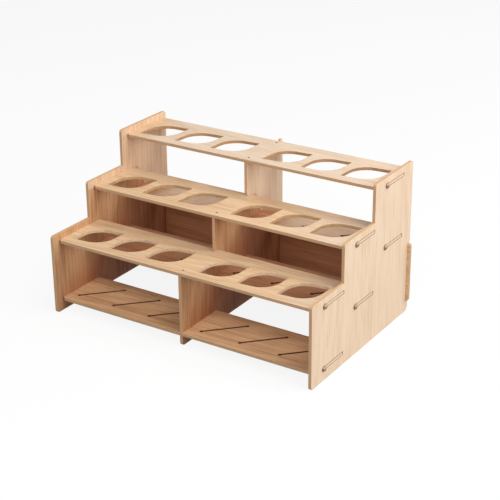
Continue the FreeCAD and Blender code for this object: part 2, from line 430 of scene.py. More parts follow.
@dataclass(frozen=True)
class BoardWood:
    """Straight-grained matt sheet wood with browner cut edges.

    A tabbed board, whose board_end is given, has round corners painted dark near its ends, as
    the shade in the gap beside the panel, and pale tab ends whose top rim is painted darker, as
    the shade under the slot's upper edge with some scorch. Places are in millimetres, along,
    across or through the board. A range gives where a smooth change starts and ends.

    Attributes:
        grain: How the board lies.
        offset: Where in the log it was cut.
        sheet: Its wood.
        change: Where it has a tone painted for light or shade.
        board_end: How far the board reaches from the middle without its tabs.
        top: Height of its upper face.
    """

    grain: Grain
    offset: Place
    sheet: Sheet
    change: PaintedLightShade | None = None
    board_end: float | None = None
    top: float = 0.0

    drift: Mottle = Mottle((320.0, 26.0, 40.0), 2.0)
    streaks: Mottle = Mottle((110.0, 1.7, 4.0), 4.0, 0.62)
    fibres: Mottle = Mottle((16.0, 0.5, 1.2), 2.0, 0.6)
    pores: Mottle = Mottle((7.0, 0.32, 0.5), 1.0)
    saw_marks: Mottle = Mottle((14.0, 1.2, 0.5), 3.0, 0.6)

    streak_share: float = 0.5
    drift_share: float = 0.22
    ring_share: float = 0.05
    fibre_share: float = 0.27
    tone_range: Range = (0.4, 0.7)

    ring_bends: Mottle = Mottle((190.0, 40.0, 60.0), 2.0)
    ring_bend: float = 22.0
    ring_slope: float = 0.08
    ring_depth: float = 46.0
    ring_pitch: float = 1.15

    pore_range: Range = (0.62, 0.74)
    pore_streaks: Range = (0.42, 0.6)
    pore_share: float = 0.35
    pore_shade: float = 0.45

    edge_range: Range = (0.86, 0.5)
    saw_range: Range = (0.3, 0.72)
    saw_shade: float = 0.8
    relief: Relief = Relief(0.22, 0.12)
    fibre_relief: float = 0.5
    streak_relief: float = 0.3
    pore_relief: float = 0.6
    rough: float = 0.52
    fibre_rough: float = 0.14
    edge_rough: float = 0.1
    specular: float = 0.3

    bay_start: float = 1.6
    bay_pitch: float = 149.2
    side_range: Range = (0.0, 0.5)
    step_place: Range = (42.0, 62.0)
    deep_slope: float = 1.5
    deep_range: Range = (-135.0, -60.0)

    # Painted shade: the dark of the gap beside the panel, on a board's round corners.
    corner_shade: Colour = linear(70, 40, 24)
    corner_shade_reach: Range = (-2.0, -1.0)
    corner_along: Range = (0.2, 0.5)
    corner_across: Range = (0.2, 0.4)
    tab_end: Colour = linear(234, 205, 175)
    tab_range: Range = (0.0, 0.1)
    # Painted shade, with some scorch: the darker rim along the top of each tab end.
    tab_rim: Colour = linear(140, 100, 72)
    rim_range: Range = (-0.8, -0.5)

    def mix(self, name: str) -> Material:
        """Makes the finish.

        Args:
            name: Name of the material.

        Returns:
            The material.
        """
        recipe = Recipe(bpy.data.materials.new(name))
        spot, normal = recipe.spot()
        along, across, through = recipe.parts(spot, self.grain.value)
        facing = recipe.parts(normal, self.grain.value)
        shifted = (part + shift for part, shift in zip((along, across, through), self.offset))
        place = recipe.node("ShaderNodeCombineXYZ", sockets=dict(enumerate(shifted))).outputs[0]

        drift = recipe.noise(place, self.drift)
        streak = recipe.noise(place, self.streaks)
        fibre = recipe.noise(place, self.fibres)
        pores = recipe.noise(place, self.pores).ramp(*self.pore_range)
        pores = pores * streak.ramp(*self.pore_streaks)
        tone = (
            streak * self.streak_share
            + drift * self.drift_share
            + self._rings(recipe, place) * self.ring_share
            + fibre * self.fibre_share
        ).ramp(*self.tone_range)

        face = recipe.blend(tone, *self._tones(recipe, along, across, facing[2]))
        dots = shade(self.sheet.deep, self.pore_shade)
        face = recipe.blend(pores * self.pore_share, face, dots)

        edge = facing[2].size().ramp(*self.edge_range)
        sawn = recipe.noise(place, self.saw_marks).ramp(*self.saw_range)
        cut = recipe.blend(sawn, self.sheet.cut, shade(self.sheet.cut, self.saw_shade))
        if self.board_end:
            cut = self._ends(recipe, cut, along, through, facing)

        height = fibre * self.fibre_relief + streak * self.streak_relief - pores * self.pore_relief
        rough = self.rough + fibre * self.fibre_rough + edge * self.edge_rough
        return recipe.surface(
            self.relief,
            height,
            {
                "Base Color": recipe.blend(edge, face, cut),
                "Roughness": rough,
                "Specular IOR Level": self.specular,
            },
        )

    def _rings(self, recipe: Recipe, place: Socket) -> Value:
        """Growth rings, cut at a low angle, so that they open into long arches.

        Args:
            recipe: The finish in work.
            place: Place in the log in millimetres.

        Returns:
            Bands from 0 to 1.
        """
        along, across, through = recipe.parts(place, ("X", "Y", "Z"))
        depth = through + along * self.ring_slope + self.ring_depth
        radius = (across * across + depth * depth).root()
        radius = radius + recipe.noise(place, self.ring_bends) * self.ring_bend
        return (radius * self.ring_pitch).sine() * 0.5 + 0.5

    def _tones(
        self, recipe: Recipe, along: Value, across: Value, side: Value
    ) -> "tuple[Colour | Socket, Colour | Socket]":
        """Gives the colours of the grain, with the tone painted for light or shade.

        Args:
            recipe: The finish in work.
            along: Place along the grain in millimetres.
            across: Place across the grain in millimetres.
            side: Normal through the board, 1 or -1 on its faces.

        Returns:
            The pale and the deep colour.
        """
        change = self.change
        if not change:
            return self.sheet.pale, self.sheet.deep
        if change.reach is Reach.BOTH:
            far = along.size()
        elif change.reach is Reach.BAYS:
            far = (along - self.bay_start).wrap(self.bay_pitch)
        else:
            far = along * change.reach.value
        # The painted tone ends sooner along the grain towards the back.
        if change.step:
            far = far + across.ramp(*self.step_place) * change.step
        other = far.ramp(change.gone, change.full) * (1.0 - change.least) + change.least
        if len(change.sides) == 1:
            other = other * (side * change.sides[0]).ramp(*self.side_range)
        pale, deep = change.sheet.pale, change.sheet.deep
        # Painted shade: a darker tone towards the low back corner.
        if change.back_corner_shade:
            back_corner_share = (across - along * self.deep_slope).ramp(*self.deep_range)
            pale = recipe.blend(back_corner_share, pale, change.back_corner_shade.pale)
            deep = recipe.blend(back_corner_share, deep, change.back_corner_shade.deep)
        return (
            recipe.blend(other, self.sheet.pale, pale), recipe.blend(other, self.sheet.deep, deep)
        )

    def _ends(
        self, recipe: Recipe, cut: Socket, along: Value, through: Value, facing: tuple[Value, ...]
    ) -> Socket:
        """Paints shade on the round corners of a tabbed board, and leaves its tab ends pale below
        a rim of painted shade.

        Args:
            recipe: The finish in work.
            cut: Colour of the cut edges so far.
            along: Place along the board in millimetres.
            through: Height in millimetres.
            facing: Normal along, across and through the board.

        Returns:
            The changed colour.
        """
        past_end = along.size() - self.board_end
        # Painted shade on the round corners near the board's ends.
        corner = facing[0].size().ramp(*self.corner_along)
        corner = corner * facing[1].size().ramp(*self.corner_across)
        corner = corner * past_end.ramp(*self.corner_shade_reach)
        # Painted shade, with some scorch, along the top of each tab end.
        rim = (through - self.top).ramp(*self.rim_range)
        end = recipe.blend(rim, self.tab_end, self.tab_rim)
        tab = past_end.ramp(*self.tab_range)
        return recipe.blend(tab, recipe.blend(corner, cut, self.corner_shade), end)


class Cut(Enum):
    """Tones of the walls of holes and slots."""

    # Dark of the burnt cut, and partly painted shade of narrow slots, bores and gaps.
    BURNT = linear(112, 70, 44)
    PALE = linear(232, 198, 162)
    WARM = linear(206, 168, 124)
    BROWN = linear(196, 152, 112)
    EDGE = linear(212, 173, 133)


@dataclass(frozen=True)
class SawnWood:
    """Wood of a cut wall, with the brown of the hot cut, stronger here and there."""

    cut: Cut
    clouds: Mottle = Mottle((6.0, 6.0, 2.0), 3.0, 0.6)
    teeth: Mottle = Mottle((0.35, 0.35, 2.4), 2.0)
    cloud_share: float = 0.6
    teeth_share: float = 0.4
    dark_range: Range = (0.4, 0.68)
    dark_shade: float = 0.72
    relief: Relief = Relief(0.2, 0.1)
    rough: float = 0.6
    cloud_rough: float = 0.15
    specular: float = 0.25

    def mix(self) -> Material:
        """Makes the finish.

        Returns:
            The material.
        """
        recipe = Recipe(bpy.data.materials.new(f"{self.cut.name.lower()}_cut"))
        place = recipe.spot()[0]
        cloud = recipe.noise(place, self.clouds)
        teeth = recipe.noise(place, self.teeth)
        dark = (cloud * self.cloud_share + teeth * self.teeth_share).ramp(*self.dark_range)
        tone = self.cut.value
        return recipe.surface(
            self.relief,
            teeth,
            {
                "Base Color": recipe.blend(dark, tone, shade(tone, self.dark_shade)),
                "Roughness": self.rough + cloud * self.cloud_rough,
                "Specular IOR Level": self.specular,
            },
        )


@dataclass(frozen=True)
class PinSteel:
    """Satin metal of the small domed pins, with a painted highlight on the crown and painted shade
    near the rim.
    """

    axis: Axis
    # Painted highlight colour on the crown, and painted shade colour near the rim.
    bright: Colour = linear(152, 126, 102)
    dark: Colour = linear(110, 84, 64)
    crown_range: Range = (0.3, 0.7)
    haze: Mottle = Mottle((0.9, 0.9, 0.9), 3.0, 0.6)
    scratches: Mottle = Mottle((0.12, 1.6, 0.12), 2.0)
    relief: Relief = Relief(0.15, 0.05)
    crown_highlight: float = 0.7
    haze_highlight: float = 0.5
    rough: float = 0.3
    haze_rough: float = 0.2

    def mix(self) -> Material:
        """Makes the finish.

        Returns:
            The material.
        """
        recipe = Recipe(bpy.data.materials.new(f"pin_steel_{self.axis.name.lower()}"))
        place, normal = recipe.spot()
        (facing,) = recipe.parts(normal, (self.axis.name,))
        # Painted highlight on the crown, fading to painted shade at the rim.
        crown = facing.size().ramp(*self.crown_range)
        haze = recipe.noise(place, self.haze)
        bright = crown * (self.crown_highlight + haze * self.haze_highlight)
        return recipe.surface(
            self.relief,
            recipe.noise(place, self.scratches),
            {
                "Base Color": recipe.blend(bright, self.dark, self.bright),
                "Metallic": 1.0,
                "Roughness": self.rough + haze * self.haze_rough,
            },
        )


CLOSE = 0.02  # millimetres
PARALLEL = 0.99  # least cosine of two lines that run the same way
FACING = 0.9  # least cosine of a normal that points a given way
FLAT_ANGLE = math.radians(1)
SHARP_ANGLE = math.radians(40)
SMOOTH_ANGLE = math.radians(50)
DRILL_SIDES = 24
EASING_STEPS = 2
WALLS = 1  # a piece's second finish, on the walls of its cuts


def deselect() -> None:
    """Lets go of everything."""
    bpy.ops.object.select_all(action="DESELECT")


def line(axis: Axis, *spots: Spot) -> Test:
    """Makes a test for edges that run along an axis.

    Args:
        axis: The axis.
        spots: Places that the edges may be at, in millimetres, with None for a free coordinate.

    Returns:
        A test of an edge's middle and direction.
    """
    def passes(middle: Vector, direction: Vector) -> bool:
        """Tests one edge.

        Args:
            middle: Its middle in millimetres.
            direction: Its direction.

        Returns:
            Whether it runs along the axis at one of the places.
        """
        return abs(direction.dot(axis.way)) > PARALLEL and any(
            all(want is None or abs(have - want) < CLOSE for have, want in zip(middle, spot))
            for spot in spots
        )

    return passes


class Pick(Enum):
    """What edit mode picks, with its name in a mesh."""

    FACE = "polygons"
    EDGE = "edges"


class Workpiece:
    """One mesh on the bench, shaped with hand tools. Its places and sizes are in millimetres."""

    def __init__(self, body: bpy.types.Object) -> None:
        """Keeps the object."""
        self.body = body

    @classmethod
    def blank(cls, name: str, low: Place, high: Place) -> "Workpiece":
        """Saws a rectangular blank between two corners.

        Args:
            name: Name of the piece.
            low: Its lowest corner.
            high: Its highest corner.

        Returns:
            The blank.
        """
        size = Vector(high) - Vector(low)
        deselect()
        bpy.ops.mesh.primitive_cube_add(size=1.0, location=(Vector(low) + size / 2) * MM)
        bpy.ops.transform.resize(value=size * MM)
        return cls.taken(name)

    @classmethod
    def drill(
        cls, name: str, start: Place, axis: Axis, length: float, radius: float
    ) -> "Workpiece":
        """Makes a round cutter.

        Args:
            name: Name of the cutter.
            start: Centre of its first end.
            axis: Axis that it runs along, upwards.
            length: Its length.
            radius: Its radius.

        Returns:
            The cutter.
        """
        deselect()
        bpy.ops.mesh.primitive_cylinder_add(
            vertices=DRILL_SIDES,
            radius=radius * MM,
            depth=length * MM,
            location=(Vector(start) + axis.way * length / 2) * MM,
            rotation=axis.value,
        )
        return cls.taken(name)

    @classmethod
    def taken(cls, name: str) -> "Workpiece":
        """Takes the object in hand as a piece, and moves its place into its mesh.

        Args:
            name: Name of the piece.

        Returns:
            The piece, with a slot for each of its two finishes.
        """
        body = bpy.context.object
        body.name = body.data.name = name
        bpy.ops.object.transform_apply(location=True, rotation=True, scale=True)
        while len(body.data.materials) <= WALLS:
            body.data.materials.append(None)
        return cls(body)

    def hold(self) -> None:
        """Takes this piece alone in hand, in object mode."""
        deselect()
        self.body.select_set(True)
        bpy.context.view_layer.objects.active = self.body

    def _open(self, pick: Pick) -> None:
        """Goes into edit mode with nothing selected.

        Args:
            pick: What is picked next.
        """
        self.hold()
        bpy.ops.object.mode_set(mode="EDIT")
        bpy.ops.mesh.select_mode(type=pick.name)
        bpy.ops.mesh.select_all(action="DESELECT")

    def _choose(
        self, pick: Pick, wanted: "Callable[[bpy.types.MeshPolygon | bpy.types.MeshEdge], bool]"
    ) -> None:
        """Opens the piece with some of its faces or edges selected.

        Args:
            pick: Faces or edges.
            wanted: Tells of each of them whether it is selected.
        """
        self._open(pick)
        bpy.ops.object.mode_set(mode="OBJECT")
        for part in getattr(self.body.data, pick.value):
            part.select = wanted(part)
        bpy.ops.object.mode_set(mode="EDIT")

    def _faces(self, test: Test) -> None:
        """Opens the piece with the faces selected whose middle and normal pass a test."""
        self._choose(Pick.FACE, lambda face: test(face.center / MM, face.normal))

    def _edges(self, test: Test) -> None:
        """Opens the piece with some edges selected.

        Args:
            test: Picks the edges by middle and direction.
        """
        def wanted(edge: bpy.types.MeshEdge) -> bool:
            """Tests one edge of the mesh."""
            first, second = (self.body.data.vertices[index].co for index in edge.vertices)
            return test((first + second) / 2 / MM, (second - first).normalized())

        self._choose(Pick.EDGE, wanted)

    @staticmethod
    def _bevel(reach: float, steps: int, **settings: int) -> None:
        """Bevels the selected edges.

        Args:
            reach: How far from each edge the bevel starts.
            steps: How many flats make it.
            settings: More settings of the tool.
        """
        bpy.ops.mesh.bevel(
            offset=reach * MM,
            offset_type="OFFSET",
            segments=steps,
            profile=0.5,
            affect="EDGES",
            clamp_overlap=False,
            **settings,
        )

    @staticmethod
    def _close() -> None:
        """Leaves edit mode."""
        bpy.ops.object.mode_set(mode="OBJECT")

    def scribe(self, axis: Axis, place: float) -> None:
        """Scribes a line right round the piece, square to an axis.

        Args:
            axis: The axis.
            place: Where the line lies on that axis.
        """
        self._open(Pick.FACE)
        bpy.ops.mesh.select_all(action="SELECT")
        bpy.ops.mesh.bisect(plane_co=axis.way * place * MM, plane_no=axis.way)
        self._close()

    def pull(self, test: Test, move: Place) -> None:
        """Extrudes faces.

        Args:
            test: Picks the faces by middle and normal.
            move: How far they are pulled.
        """
        self._faces(test)
        bpy.ops.mesh.extrude_region_move(TRANSFORM_OT_translate={"value": Vector(move) * MM})
        self._close()

    def lean(self, test: Test, move: Place) -> None:
        """Moves edges.

        Args:
            test: Picks the edges by middle and direction.
            move: How far they move.
        """
        self._edges(test)
        bpy.ops.transform.translate(value=Vector(move) * MM)
        self._close()

    def merge_flats(self) -> None:
        """Takes away the scribed lines that no step or tab needs."""
        self._open(Pick.FACE)
        bpy.ops.mesh.select_all(action="SELECT")
        bpy.ops.mesh.dissolve_limited(angle_limit=FLAT_ANGLE)
        self._close()

    def round_off(self, test: Test, reach: float, steps: int) -> None:
        """Rounds edges off.

        Args:
            test: Picks the edges by middle and direction.
            reach: How far from the edge the round starts.
            steps: How many flats make the round.
        """
        self._edges(test)
        self._bevel(reach, steps)
        self._close()

    def turn(self, angle: float, axis: Axis) -> None:
        """Turns the piece about the origin, right-handed.

        Args:
            angle: Angle in degrees.
            axis: Axis that it turns about.
        """
        self.hold()
        bpy.ops.transform.rotate(
            value=-math.radians(angle), orient_axis=axis.name, center_override=(0, 0, 0)
        )
        bpy.ops.object.transform_apply(location=True, rotation=True, scale=True)

    def copies(self, places: Iterable[Place]) -> "Workpiece":
        """Sets copies of the piece at some places and joins them. The pattern piece goes away.

        Args:
            places: How far each copy is moved.

        Returns:
            The joined copies.
        """
        made = []
        for place in places:
            copy = self.body.copy()
            copy.data = self.body.data.copy()
            bpy.context.scene.collection.objects.link(copy)
            copy.location = Vector(place) * MM
            made.append(copy)
        name = self.body.name
        bpy.data.objects.remove(self.body)
        deselect()
        for copy in made:
            copy.select_set(True)
        bpy.context.view_layer.objects.active = made[0]
        bpy.ops.object.transform_apply(location=True, rotation=True, scale=True)
        if len(made) > 1:
            bpy.ops.object.join()
        return self.taken(name)

    def cut(self, cutter: "Workpiece") -> None:
        """Cuts another piece's shape out of this one. The new walls take the second finish.

        Args:
            cutter: What is cut out. It goes away.
        """
        for face in cutter.body.data.polygons:
            face.material_index = WALLS
        self.hold()
        modifier = self.body.modifiers.new("cut", "BOOLEAN")
        modifier.operation = "DIFFERENCE"
        modifier.solver = "EXACT"
        modifier.material_mode = "INDEX"
        modifier.object = cutter.body
        bpy.ops.object.modifier_apply(modifier=modifier.name)
        bpy.data.objects.remove(cutter.body)

    def ease(self, width: float) -> None:
        """Takes the sharpness off all edges, as with fine sandpaper.

        Args:
            width: How far from each edge the easing starts.
        """
        self._open(Pick.EDGE)
        bpy.ops.mesh.edges_select_sharp(sharpness=SHARP_ANGLE)
        self._bevel(width, EASING_STEPS)
        self._close()

    def char_and_shade_rims(self, width: float) -> None:
        """Eases the rims of all cuts and gives them the finish of the cut walls.

        Args:
            width: How far from each rim the easing starts.
        """
        self._choose(Pick.FACE, lambda face: face.material_index == WALLS)
        bpy.ops.mesh.region_to_loop()
        self._bevel(width, EASING_STEPS, material=WALLS)
        self._close()

    def polish(self) -> None:
        """Shades flats flat and rounds round."""
        self.hold()
        bpy.ops.object.shade_smooth_by_angle(angle=SMOOTH_ANGLE)
        modifier = self.body.modifiers.new("polish", "WEIGHTED_NORMAL")
        modifier.keep_sharp = True
        bpy.ops.object.modifier_apply(modifier=modifier.name)

    def fit(self, node: str, slot: str, finish: Material, walls: Material | None = None) -> None:
        """Puts the finished piece in its place on the rack.

        Args:
            node: Solid that the piece stands for.
            slot: Name of a material slot; not used.
            finish: Its finish.
            walls: Finish of the walls of its cuts, if it has any.
        """
        self.polish()
        mesh = self.body.data
        mesh.materials[0] = finish
        mesh.materials[WALLS] = walls or finish
        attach(self.body, "root")
        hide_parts(node)
        log.info("made %s: %d faces for %s", self.body.name, len(mesh.polygons), node)


def node_box(node: str) -> tuple[Vector, Vector]:
    """Gives the lowest and highest corner of a solid in millimetres."""
    low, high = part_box(node)
    return low / MM, high / MM


@dataclass
class Joinery:
    """Sizes that the joints of all boards share, in millimetres."""

    board: float = 3.2
    gap: float = 0.05
    overrun: float = 1.0
    tab_offset: float = 16.0
    tab_length: float = 32.5
    tab_end_gap: float = 0.25
    bore_radius: float = 0.6
    pin_offset: float = 2.5
    side_shank: float = 9.9
    top_bore_radius: float = 0.5
    top_shank: float = 12.9
    top_front_offset: float = 6.7
    top_back_offset: float = 5.3
    arris: float = 0.25
    corner_steps: int = 6
    tiers: tuple[str, ...] = ("lower", "middle", "upper")

    def boards(self) -> list[str]:
        """Names all boards that lie flat between the side panels."""
        return [f"{tier}_{kind}_board" for tier in self.tiers for kind in ("hole", "floor")]

    def tab_front(self, node: str) -> float:
        """Gives the Y of the front end of a board's tabs."""
        return node_box(node)[0].y + self.tab_offset

    def pin_place(self, node: str) -> tuple[float, float]:
        """Gives the Y and Z of the pins at a board's ends."""
        return self.tab_front(node) - self.pin_offset, node_box(node)[1].z - self.board / 2

    def top_pin_places(self) -> list[Place]:
        """Finds the places of the divider pins' heads on the hole boards.

        Returns:
            Their places: one on each board, and a second one on the highest.
        """
        boxes = [node_box(f"{tier}_hole_board") for tier in self.tiers]
        places = [(0.0, low.y + self.top_front_offset, high.z) for low, high in boxes]
        high = boxes[-1][1]
        return [*places, (0.0, high.y - self.top_back_offset, high.z)]

    def top_drill(self) -> Workpiece:
        """Makes the drill for the divider pins.

        Returns:
            The drill, with its top at the origin but for its overrun.
        """
        reach = self.top_shank + self.gap
        return Workpiece.drill(
            "top_drill", (0.0, 0.0, -reach), Axis.Z, reach + self.overrun, self.top_bore_radius
        )


@dataclass
class SteppedPlate(Joinery):
    """Upright board with a stepped front and a notched back: a side panel or the divider."""

    node: str = "right_side_panel"
    fronts: tuple[float, ...] = (-95.25, -38.1, 19.05)
    tops: tuple[float, ...] = (82.55, 120.65, 158.75)
    corner: float = 3.0
    heel: float = 6.0
    heel_steps: int = 8
    notch_depth: float = 5.5
    notch_low: float = 12.0
    notch_high: float = 74.1
    mouth: float = 2.2
    mouth_steps: int = 5

    def saw(self) -> Workpiece:
        """Saws the stepped outline and the notch in the back edge.

        Returns:
            The plate without its slots.
        """
        low, high = node_box(self.node)
        piece = Workpiece.blank(
            f"{self.node}_wood", (low.x, self.fronts[0], 0.0), (high.x, high.y, self.tops[0])
        )
        for front, below, top in zip(self.fronts[1:], self.tops, self.tops[1:]):
            piece.scribe(Axis.Y, front)
            piece.pull(
                lambda middle, normal: (
                    normal.z > FACING and middle.y > front and abs(middle.z - below) < CLOSE
                ),
                (0.0, 0.0, top - below),
            )
        piece.merge_flats()
        piece.cut(Workpiece.blank(
            "notch_saw",
            (low.x - self.overrun, high.y - self.notch_depth, self.notch_low),
            (high.x + self.overrun, high.y + self.overrun, self.notch_high),
        ))
        mouths = line(Axis.X, (None, high.y, self.notch_low), (None, high.y, self.notch_high))
        piece.round_off(mouths, self.mouth, self.mouth_steps)
        piece.round_off(line(Axis.X, (None, high.y, 0.0)), self.heel, self.heel_steps)
        return piece

    def across(self, low: Place, high: Place) -> Workpiece:
        """Makes a box cutter that reaches right through the plate.

        Args:
            low: Lowest corner. Its X is not used.
            high: Highest corner. Its X is not used.

        Returns:
            The cutter.
        """
        least, most = node_box(self.node)
        return Workpiece.blank(
            "slot_saw", (least.x - self.overrun, *low[1:]), (most.x + self.overrun, *high[1:])
        )

    def drill_across(self, name: str, y: float, z: float, radius: float) -> Workpiece:
        """Makes a round cutter that reaches right through the plate.

        Args:
            name: Name of the cutter.
            y: Y of its axis.
            z: Z of its axis.
            radius: Its radius.

        Returns:
            The cutter.
        """
        start = (node_box(self.node)[0].x - self.overrun, y, z)
        return Workpiece.drill(name, start, Axis.X, self.board + 2 * self.overrun, radius)


@dataclass
class SidePanel(SteppedPlate):
    """Side panel with a slot and a pin bore for every board's tab."""

    play: float = 0.1
    rim: float = 0.12

    def build(self) -> Workpiece:
        """Makes the panel.

        Returns:
            The finished panel.
        """
        piece = self.saw()
        high = node_box(self.node)[1]
        corners = [(None, front, top) for front, top in zip(self.fronts, self.tops)]
        corners += [(None, self.fronts[0], 0.0), (None, high.y, self.tops[-1])]
        piece.round_off(line(Axis.X, *corners), self.corner, self.corner_steps)
        piece.ease(self.arris)
        for board in self.boards():
            front, top = self.tab_front(board), node_box(board)[1].z
            piece.cut(self.across(
                (0.0, front - self.tab_end_gap, top - self.board - self.play),
                (0.0, front + self.tab_length + self.tab_end_gap, top + self.play),
            ))
        # Dark rims round the slots: scorch, and partly painted shade of the gaps round the tabs.
        piece.char_and_shade_rims(self.rim)
        drill = self.drill_across("pin_drill", 0.0, 0.0, self.bore_radius)
        piece.cut(drill.copies((0.0, *self.pin_place(board)) for board in self.boards()))
        return piece


@dataclass
class Divider(SteppedPlate):
    """Centre divider with through slots for the floor boards, and a prong behind the top board."""

    node: str = "centre_divider"
    fronts: tuple[float, ...] = (-86.05, -28.9, 28.25)
    tops: tuple[float, ...] = (72.85, 110.95, 149.05)
    prong_front: float = 91.35
    prong_corner: float = 1.0
    prong_steps: int = 4
    relief: float = 1.2
    slot_gap: float = 0.1

    def build(self) -> Workpiece:
        """Makes the divider.

        Returns:
            The finished divider.
        """
        piece = self.saw()
        high = node_box(self.node)[1]
        crest = self.tops[-1]
        piece.scribe(Axis.Y, self.prong_front)
        piece.pull(
            lambda middle, normal: (
                normal.z > FACING and middle.y > self.prong_front and middle.z > crest - CLOSE
            ),
            (0.0, 0.0, high.z - crest),
        )
        piece.merge_flats()
        prong = line(Axis.X, (None, self.prong_front, high.z), (None, high.y, high.z))
        piece.round_off(prong, self.prong_corner, self.prong_steps)
        foot = line(Axis.X, (None, self.fronts[0], 0.0))
        piece.round_off(foot, self.corner, self.corner_steps)
        piece.ease(self.arris)
        for tier in self.tiers:
            low, high = node_box(f"{tier}_floor_board")
            piece.cut(self.across(
                (0.0, low.y - self.slot_gap, low.z - self.gap),
                (0.0, high.y + self.slot_gap, high.z + self.gap),
            ))
        for front, shelf in zip(self.fronts[1:], self.tops):
            height = shelf + self.board + self.relief
            piece.cut(self.drill_across("relief_drill", front, height, self.relief))
        piece.cut(self.top_drill().copies(self.top_pin_places()))
        return piece


@dataclass
class BackPanel(Joinery):
    """Plain back panel whose ends stand out past the side panels."""

    node: str = "back_panel"
    corner: float = 2.6

    def build(self) -> Workpiece:
        """Makes the panel.

        Returns:
            The finished panel.
        """
        low, high = node_box(self.node)
        piece = Workpiece.blank(f"{self.node}_wood", tuple(low), tuple(high))
        corners = line(Axis.Y, *((x, None, z) for x in (low.x, high.x) for z in (low.z, high.z)))
        piece.round_off(corners, self.corner, self.corner_steps)
        piece.ease(self.arris)
        return piece


@dataclass
class TabbedBoard(Joinery):
    """Flat board with a tab at each end, under one row of holes or slots."""

    node: str = "lower_hole_board"
    corner: float = 3.0
    row_offset: float = 28.8
    centres: tuple[float, ...] = (-117.6, -74.1, -30.6, 30.6, 74.1, 117.6)

    def end(self) -> float:
        """Gives the X of the board's right end, without its tab."""
        return node_box("right_side_panel")[0].x

    def saw(self) -> Workpiece:
        """Saws the board's outline with its tabs.

        Returns:
            The board without its holes.
        """
        low, high = node_box(self.node)
        end, front = self.end(), self.tab_front(self.node)
        back = front + self.tab_length
        piece = Workpiece.blank(f"{self.node}_wood", (-end, low.y, low.z), (end, high.y, high.z))
        for place in (front, back):
            piece.scribe(Axis.Y, place)
        for side in (-1, 1):
            piece.pull(
                lambda middle, normal: normal.x * side > FACING and front < middle.y < back,
                (side * (high.x - end), 0.0, 0.0),
            )
        piece.merge_flats()
        corners = line(Axis.Z, *((x, y, None) for x in (-end, end) for y in (low.y, high.y)))
        piece.round_off(corners, self.corner, self.corner_steps)
        return piece

    def bore_ends(self, piece: Workpiece) -> None:
        """Bores the board's ends for the side pins.

        Args:
            piece: The board in work.
        """
        end = self.end()
        reach = self.side_shank + self.gap - self.board
        start = (-reach, *self.pin_place(self.node))
        drill = Workpiece.drill(
            "pin_drill", start, Axis.X, reach + self.overrun, self.bore_radius
        )
        piece.cut(drill.copies([(end, 0.0, 0.0), (reach - self.overrun - end, 0.0, 0.0)]))

    def row(self) -> list[Place]:
        """Gives the centres of the row, on the board's underside."""
        low = node_box(self.node)[0]
        return [(x, low.y + self.row_offset, low.z) for x in self.centres]


@dataclass
class HoleBoard(TabbedBoard):
    """Board with leaf-shaped holes, notched where the divider's next step comes through."""

    half_width: float = 18.2
    half_depth: float = 18.1
    side_lean: float = 2.5
    round_reach: float = 16.9
    round_steps: int = 14
    tip_reach: float = 0.93
    tip_steps: int = 3

    def build(self) -> Workpiece:
        """Makes the board.

        Returns:
            The finished board.
        """
        piece = self.saw()
        piece.cut(self._leaf().copies(self.row()))
        piece.ease(self.arris)
        low, high = node_box(self.node)
        divider = Divider()
        half = self.board / 2 + divider.slot_gap
        for front, shelf in zip(divider.fronts[1:], divider.tops):
            if abs(shelf - low.z) < CLOSE:
                piece.cut(Workpiece.blank(
                    "notch_saw",
                    (-half, front - divider.slot_gap, low.z - self.overrun),
                    (half, high.y + self.overrun, high.z + self.overrun),
                ))
        piece.cut(self.top_drill().copies(
            place for place in self.top_pin_places() if abs(place[2] - high.z) < CLOSE
        ))
        self.bore_ends(piece)
        return piece

    def _leaf(self) -> Workpiece:
        """Makes the cutter of one leaf-shaped hole, with tips at its front left and back right.

        Returns:
            The cutter, centred on the origin.
        """
        wide, deep, lean = self.half_width, self.half_depth, self.side_lean
        leaf = Workpiece.blank(
            "leaf_saw", (-wide, -deep, -self.overrun), (wide, deep, self.board + self.overrun)
        )
        rounds = []
        for side in (-1, 1):
            corner = line(Axis.Z, (side * wide, -side * deep, None))
            leaf.lean(corner, (-side * lean, side * lean, 0))
            rounds.append((side * (wide - lean), -side * (deep - lean), None))
        leaf.round_off(line(Axis.Z, *rounds), self.round_reach, self.round_steps)
        tips = line(Axis.Z, (-wide, -deep, None), (wide, deep, None))
        leaf.round_off(tips, self.tip_reach, self.tip_steps)
        return leaf


@dataclass
class FloorBoard(TabbedBoard):
    """Board with thin diagonal slots that end in round eyes."""

    run_x: float = 31.5
    run_y: float = 32.0
    width: float = 2.0
    eye: float = 3.2
    rim: float = 0.3

    def build(self) -> Workpiece:
        """Makes the board.

        Returns:
            The finished board.
        """
        piece = self.saw()
        piece.ease(self.arris)
        half_run, half_width = math.hypot(self.run_x, self.run_y) / 2, self.width / 2
        reach = self.board + 2 * self.overrun
        saw = Workpiece.blank(
            "slot_saw",
            (-half_run, -half_width, -self.overrun),
            (half_run, half_width, reach - self.overrun),
        )
        saw.turn(math.degrees(math.atan2(self.run_y, self.run_x)), Axis.Z)
        piece.cut(saw.copies(self.row()))
        drill = Workpiece.drill(
            "eye_drill", (0.0, 0.0, -self.overrun), Axis.Z, reach, self.eye / 2
        )
        piece.cut(drill.copies(
            (x + side * self.run_x / 2, y + side * self.run_y / 2, z)
            for x, y, z in self.row()
            for side in (-1, 1)
        ))
        # Dark rims and walls of the slots: scorch, and partly painted shade inside the narrow
        # slots.
        piece.char_and_shade_rims(self.rim)
        self.bore_ends(piece)
        return piece


